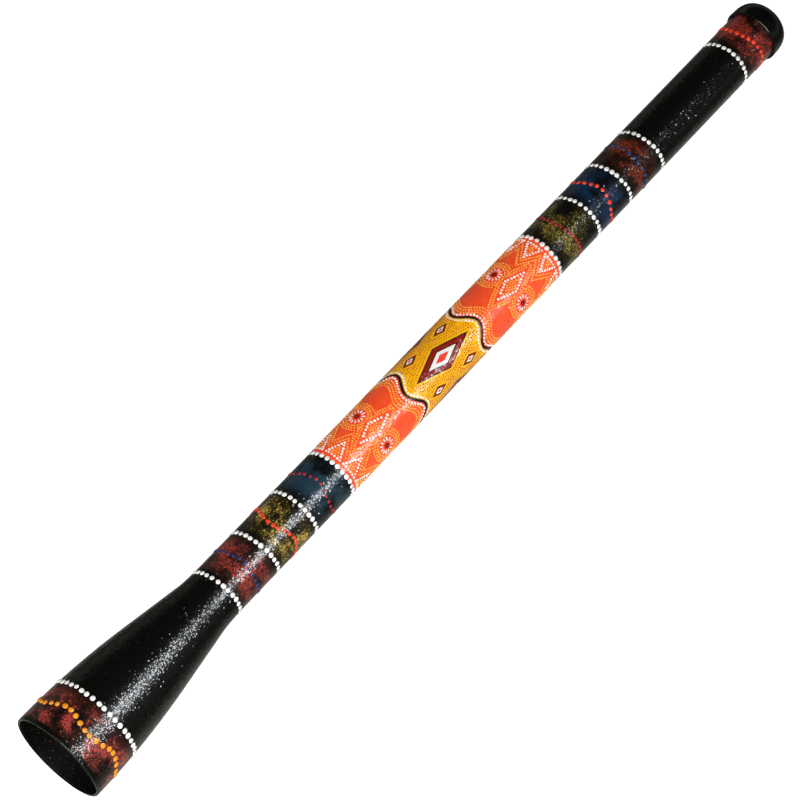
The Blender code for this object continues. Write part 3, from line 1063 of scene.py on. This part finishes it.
def add_camera():
    tilt, roll, climb = CAMERA_TILT, CAMERA_ROLL, CAMERA_CLIMB
    forward = Vector((math.sin(tilt), math.cos(tilt) * math.cos(climb), -math.cos(tilt) * math.sin(climb)))
    along = Vector((math.cos(tilt), -math.sin(tilt) * math.cos(climb), math.sin(tilt) * math.sin(climb)))
    across = Vector((0, math.sin(climb), math.cos(climb)))
    right = along * math.cos(roll) - across * math.sin(roll)
    up = along * math.sin(roll) + across * math.cos(roll)
    camera = new_object("camera", bpy.data.cameras.new("camera"))
    camera.data.lens = CAMERA_LENS
    camera.data.sensor_width = 36
    camera.data.clip_end = 50
    camera.data.shift_x, camera.data.shift_y = CAMERA_SHIFT
    place = Vector((CAMERA_AIM, 0, 0)) - forward * CAMERA_DISTANCE
    camera.matrix_world = Matrix.Translation(place) @ Matrix((right, up, -forward)).transposed().to_4x4()
    bpy.context.scene.camera = camera


def add_lamp(name, place, along, size, power, colour=(1, 1, 1)):
    """A soft box that faces the middle of the instrument, its length along the given direction."""
    light = bpy.data.lights.new(name, "AREA")
    light.shape = "RECTANGLE"
    light.size, light.size_y = size
    light.energy = power
    light.color = colour
    lamp = new_object(name, light)
    place, along = Vector(place), Vector(along)
    back = (place - along * place.dot(along)).normalized()
    axes = Matrix((along, back.cross(along), back)).transposed()
    lamp.matrix_world = Matrix.Translation(place) @ axes.to_4x4()
    lamp.visible_camera = False
    return lamp


FLOOR_SIZE, FLOOR_GAP = 60, 0.0002
BACKDROP_R = 9.0
BACKDROP_HEIGHT = 12.0
# The stage's glow rises from one strength to the other between two distances from the middle (m)
GLOW_DISTANCES, GLOW_STRENGTHS = (2.0, 4.5), (0.90, 1.02)


def pale_look(name):
    """Matt pale paper that glows, and a little more where the lamps don't reach."""
    look = Look(name)
    tone = look.remap(look.noise(3.0), 0.3, 0.7)
    look.set(Base_Color=look.mix(tone, (0.52, 0.52, 0.52), (0.56, 0.56, 0.56)))
    look.set(Roughness=0.9, Specular_IOR_Level=0.1, Emission_Color=(1, 1, 1))
    distance = look.node("VectorMath", {0: look.place}, operation="LENGTH")
    glow = look.remap(distance.outputs["Value"], *GLOW_DISTANCES, *GLOW_STRENGTHS)
    look.set(Emission_Strength=glow)
    return look.material


def add_floor():
    place = (0, 0, -BELL_R - FLOOR_GAP)
    bpy.ops.mesh.primitive_grid_add(x_subdivisions=8, y_subdivisions=8, size=FLOOR_SIZE, location=place)
    floor = bpy.context.object
    floor.name = "floor"
    floor.visible_glossy = False
    floor.data.materials.append(pale_look("pale_floor"))


def add_backdrop():
    """A pale wall round the floor, for views from low down. It neither lights nor shades the instrument."""
    bpy.ops.mesh.primitive_cylinder_add(
        vertices=96,
        radius=BACKDROP_R,
        depth=BACKDROP_HEIGHT,
        end_fill_type="NOTHING",
        location=(0, 0, BACKDROP_HEIGHT / 2 - BELL_R - 0.001),
    )
    wall = bpy.context.object
    wall.name = "backdrop"
    wall.visible_diffuse = False
    wall.visible_glossy = False
    wall.visible_shadow = False
    wall.data.materials.append(pale_look("pale_backdrop"))


def add_world():
    """A dim room for the gloss of the tube's sides to mirror, paler low down and in a belt near level."""
    world = bpy.data.worlds.new("studio")
    world.use_nodes = True
    bpy.context.scene.world = world
    tree = world.node_tree
    place = tree.nodes.new("ShaderNodeTexCoord")
    split = tree.nodes.new("ShaderNodeSeparateXYZ")
    ramp = tree.nodes.new("ShaderNodeValToRGB")
    height = tree.nodes.new("ShaderNodeMapRange")
    height.inputs["From Min"].default_value = -1.0
    stops = ((0.10, 0.30), (0.30, 0.04), (0.42, 0.04), (0.52, 0.28), (0.66, 0.02))
    for position, level in stops:
        element = ramp.color_ramp.elements.new(position)
        element.color = (level, level, level * 0.90, 1)
    for end in (-1, 0):
        ramp.color_ramp.elements.remove(ramp.color_ramp.elements[end])
    tree.links.new(place.outputs["Generated"], split.inputs["Vector"])
    tree.links.new(split.outputs["Z"], height.inputs["Value"])
    tree.links.new(height.outputs["Result"], ramp.inputs["Fac"])
    tree.links.new(ramp.outputs["Color"], tree.nodes["Background"].inputs["Color"])
    tree.nodes["Background"].inputs["Strength"].default_value = 1.0


# The long soft box: where each length of it ends (m), and that length's share of full brightness
STRIP_START = -0.10
STRIP_LENGTHS = ((0.14, 0.62), (0.46, 0.80), (0.70, 0.26), (0.90, 0.05))
STRIP_DISTANCE = 1.5
STRIP_WIDTH = 0.42
STRIP_BRIGHTNESS = 42
# How far below the camera it stands, as an angle round the tube, and its cool white
STRIP_BELOW_CAMERA = math.radians(24)
STRIP_COLOUR = (0.93, 0.97, 1.0)
KEY_PLACE = (-2.2, -1.0, 2.4)
KEY_SIDE, KEY_POWER = 2.4, 165


def add_studio():
    add_floor()
    add_backdrop()
    add_world()
    bpy.context.scene.view_settings.view_transform = "Standard"
    # A broad soft light from the bell's side for the colours, which the straight tube doesn't mirror
    key = Vector(KEY_PLACE)
    lamp = add_lamp("key", key, (0, 1, 0), (KEY_SIDE, KEY_SIDE), KEY_POWER)
    lamp.rotation_euler = key.to_track_quat("Z", "Y").to_euler()
    # A long narrow one, which draws the bright line along the tube and gives no diffuse light
    climb = CAMERA_CLIMB - STRIP_BELOW_CAMERA
    start = STRIP_START
    for number, (end, share) in enumerate(STRIP_LENGTHS):
        place = ((start + end) / 2, -math.cos(climb) * STRIP_DISTANCE, math.sin(climb) * STRIP_DISTANCE)
        power = math.pi * STRIP_BRIGHTNESS * share * (end - start) * STRIP_WIDTH
        size = (end - start, STRIP_WIDTH)
        lamp = add_lamp(f"strip_{number}", place, (1, 0, 0), size, power, STRIP_COLOUR)
        lamp.visible_diffuse = False
        start = end


add_camera()
build_tubes()
bush_plastic_painted_shade = build_bush()
build_collar(bush_plastic_painted_shade)
build_rings()
build_mouthpiece()
for paint_name, (colour, other, lift) in PAINTS.items():
    paints[paint_name] = Paint(paint_name, paint_look(paint_name + "_paint", colour, other), lift)
paint_bands()
paint_panel()
for paint in paints.values():
    paint.finish()
add_studio()
